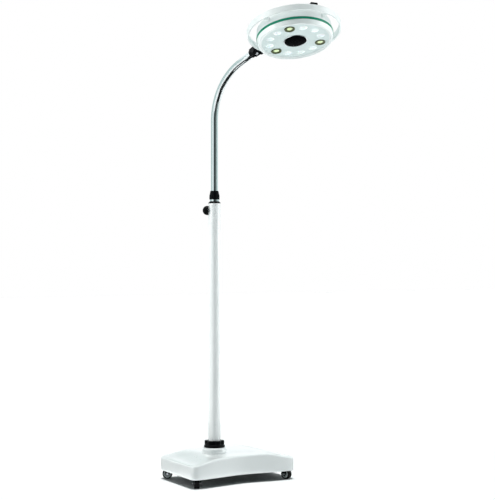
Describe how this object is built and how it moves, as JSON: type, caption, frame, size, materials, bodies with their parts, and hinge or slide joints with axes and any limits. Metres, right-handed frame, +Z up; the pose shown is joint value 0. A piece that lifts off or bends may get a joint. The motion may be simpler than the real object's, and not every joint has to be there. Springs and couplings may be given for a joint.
{
  "type": "mobile examination lamp",
  "caption": "Round multi-lens examination lamp head on a bent telescoping arm, held by a column on a waisted, ballasted base with swivel casters.",
  "frame": {"origin": "on the floor under the column's axis: the point where the column's axis meets the plane that the tyres stand on", "axes": "+Z up along the column's axis; +X along the base towards its longer reach from the column; +Y completes a right-handed frame, so the lamp head at rest hangs over the -Y side"},
  "size_m": [0.4249, 0.64, 1.6286],
  "materials": {
    "white_enamel": "smooth semi-gloss white powder coat",
    "white_moulding": "smooth white moulded plastic, fine satin",
    "face_white": "white lamp face, satin",
    "trim_green": "green moulded trim, satin",
    "black_moulding": "black moulded plastic, lightly textured",
    "black_gloss": "black glossy plastic",
    "chrome_tube": "bright chrome plate",
    "zinc_steel": "bright zinc-plated steel",
    "base_steel": "black painted sheet steel",
    "ballast_iron": "rough dark cast iron",
    "glide_nylon": "natural nylon",
    "wheel_grey": "light grey moulded wheel",
    "tyre_black": "black soft tread",
    "lens_clear": "clear moulded lens",
    "lens_warm": "pale yellow-green moulded lens",
    "bezel_olive": "dark olive bezel",
    "board_green": "green circuit board",
    "board_white": "white circuit board",
    "sink_aluminium": "plain aluminium",
    "cable_black": "black cable sheath"
  },
  "bodies": {
    "base": {"base_cover": "white_enamel", "base_plate": "base_steel", "ballast_weights": "ballast_iron", "base_screws": "zinc_steel", "column_boss": "white_enamel", "foot_collar": "black_moulding", "collar_screws": "zinc_steel", "column_tube": "white_enamel", "foot_bolt": "zinc_steel", "column_bush": "glide_nylon", "column_cap": "black_moulding", "gland_body": "chrome_tube", "collet": "glide_nylon", "caster_stems": "zinc_steel"},
    "caster_near_left": {"caster_fork_near_left": "black_moulding", "caster_axle_near_left": "zinc_steel"},
    "wheel_near_left": {"caster_wheel_near_left": "wheel_grey", "caster_tyre_near_left": "tyre_black"},
    "caster_near_right": {"caster_fork_near_right": "black_moulding", "caster_axle_near_right": "zinc_steel"},
    "wheel_near_right": {"caster_wheel_near_right": "wheel_grey", "caster_tyre_near_right": "tyre_black"},
    "caster_far_left": {"caster_fork_far_left": "black_moulding", "caster_axle_far_left": "zinc_steel"},
    "wheel_far_left": {"caster_wheel_far_left": "wheel_grey", "caster_tyre_far_left": "tyre_black"},
    "caster_far_right": {"caster_fork_far_right": "black_moulding", "caster_axle_far_right": "zinc_steel"},
    "wheel_far_right": {"caster_wheel_far_right": "wheel_grey", "caster_tyre_far_right": "tyre_black"},
    "lock_knob": {"lock_knob": "black_moulding", "lock_stud": "zinc_steel"},
    "gland_nut": {"gland_nut": "black_moulding"},
    "arm_glide": {"glide_ring": "glide_nylon"},
    "arm": {"arm_tube": "chrome_tube", "arm_yoke": "black_moulding", "arm_cable": "cable_black", "pivot_bolt": "zinc_steel", "pivot_nut": "black_moulding", "friction_washers": "zinc_steel"},
    "head_bracket": {"head_lug": "zinc_steel", "swivel_flange": "black_moulding", "spindle_nut": "zinc_steel"},
    "head": {"rear_housing": "white_moulding", "front_bezel": "white_moulding", "trim_ring": "trim_green", "front_plate": "face_white", "clear_lenses": "lens_clear", "warm_lenses": "lens_warm", "lens_bezels": "bezel_olive", "centre_cap": "black_gloss", "centre_ring": "chrome_tube", "led_board": "board_white", "heat_sink": "sink_aluminium", "driver_board": "board_green", "ring_handle": "white_moulding", "ring_posts": "white_moulding", "housing_screws": "zinc_steel", "control_pod": "black_moulding"},
    "control_rocker": {"control_rocker": "black_gloss"}
  },
  "joints": [
    {"name": "swivel_near_left", "type": "hinge", "parent": "base", "child": "caster_near_left", "pos_m": [-0.126, -0.104, 0.0455], "axis": [0, 0, 1], "continuous": true},
    {"name": "roll_near_left", "type": "hinge", "parent": "caster_near_left", "child": "wheel_near_left", "pos_m": [-0.12976, -0.11106, 0.018], "axis": [-0.8829, 0.4695, 0], "continuous": true},
    {"name": "swivel_near_right", "type": "hinge", "parent": "base", "child": "caster_near_right", "pos_m": [0.23, -0.104, 0.0455], "axis": [0, 0, 1], "continuous": true},
    {"name": "roll_near_right", "type": "hinge", "parent": "caster_near_right", "child": "wheel_near_right", "pos_m": [0.23274, -0.11152, 0.018], "axis": [-0.9397, -0.342, 0], "continuous": true},
    {"name": "swivel_far_left", "type": "hinge", "parent": "base", "child": "caster_far_left", "pos_m": [-0.126, 0.104, 0.0455], "axis": [0, 0, 1], "continuous": true},
    {"name": "roll_far_left", "type": "hinge", "parent": "caster_far_left", "child": "wheel_far_left", "pos_m": [-0.13306, 0.10776, 0.018], "axis": [0.4695, 0.8829, 0], "continuous": true},
    {"name": "swivel_far_right", "type": "hinge", "parent": "base", "child": "caster_far_right", "pos_m": [0.23, 0.104, 0.0455], "axis": [0, 0, 1], "continuous": true},
    {"name": "roll_far_right", "type": "hinge", "parent": "caster_far_right", "child": "wheel_far_right", "pos_m": [0.23655, 0.10859, 0.018], "axis": [0.5736, -0.8192, 0], "continuous": true},
    {"name": "lock_knob_turn", "type": "hinge", "parent": "base", "child": "lock_knob", "pos_m": [-0.02598, 0.015, 0.961], "axis": [-0.866, 0.5, 0], "range_deg": [-360, 360]},
    {"name": "gland_nut_turn", "type": "hinge", "parent": "base", "child": "gland_nut", "pos_m": [0, 0, 1.01], "axis": [0, 0, 1], "range_deg": [-360, 360]},
    {"name": "arm_height", "type": "slide", "parent": "base", "child": "arm_glide", "axis": [0, 0, 1], "range_m": [-0.24, 0.3]},
    {"name": "arm_swivel", "type": "hinge", "parent": "arm_glide", "child": "arm", "pos_m": [0, 0, 0.6], "axis": [0, 0, 1], "range_deg": [-170, 170]},
    {"name": "head_tilt", "type": "hinge", "parent": "arm", "child": "head_bracket", "pos_m": [0.05933, -0.18817, 1.5087], "axis": [-0.9537, -0.3007, 0], "range_deg": [-85, 65]},
    {"name": "head_roll", "type": "hinge", "parent": "head_bracket", "child": "head", "pos_m": [0.06683, -0.21196, 1.51604], "axis": [0.2885, -0.9149, 0.2823], "range_deg": [-110, 110]},
    {"name": "rocker_press", "type": "hinge", "parent": "head", "child": "control_rocker", "pos_m": [0.09891, -0.49592, 1.62448], "axis": [-0.09, -0.9419, 0.3236], "range_deg": [-6, 6]}
  ]
}
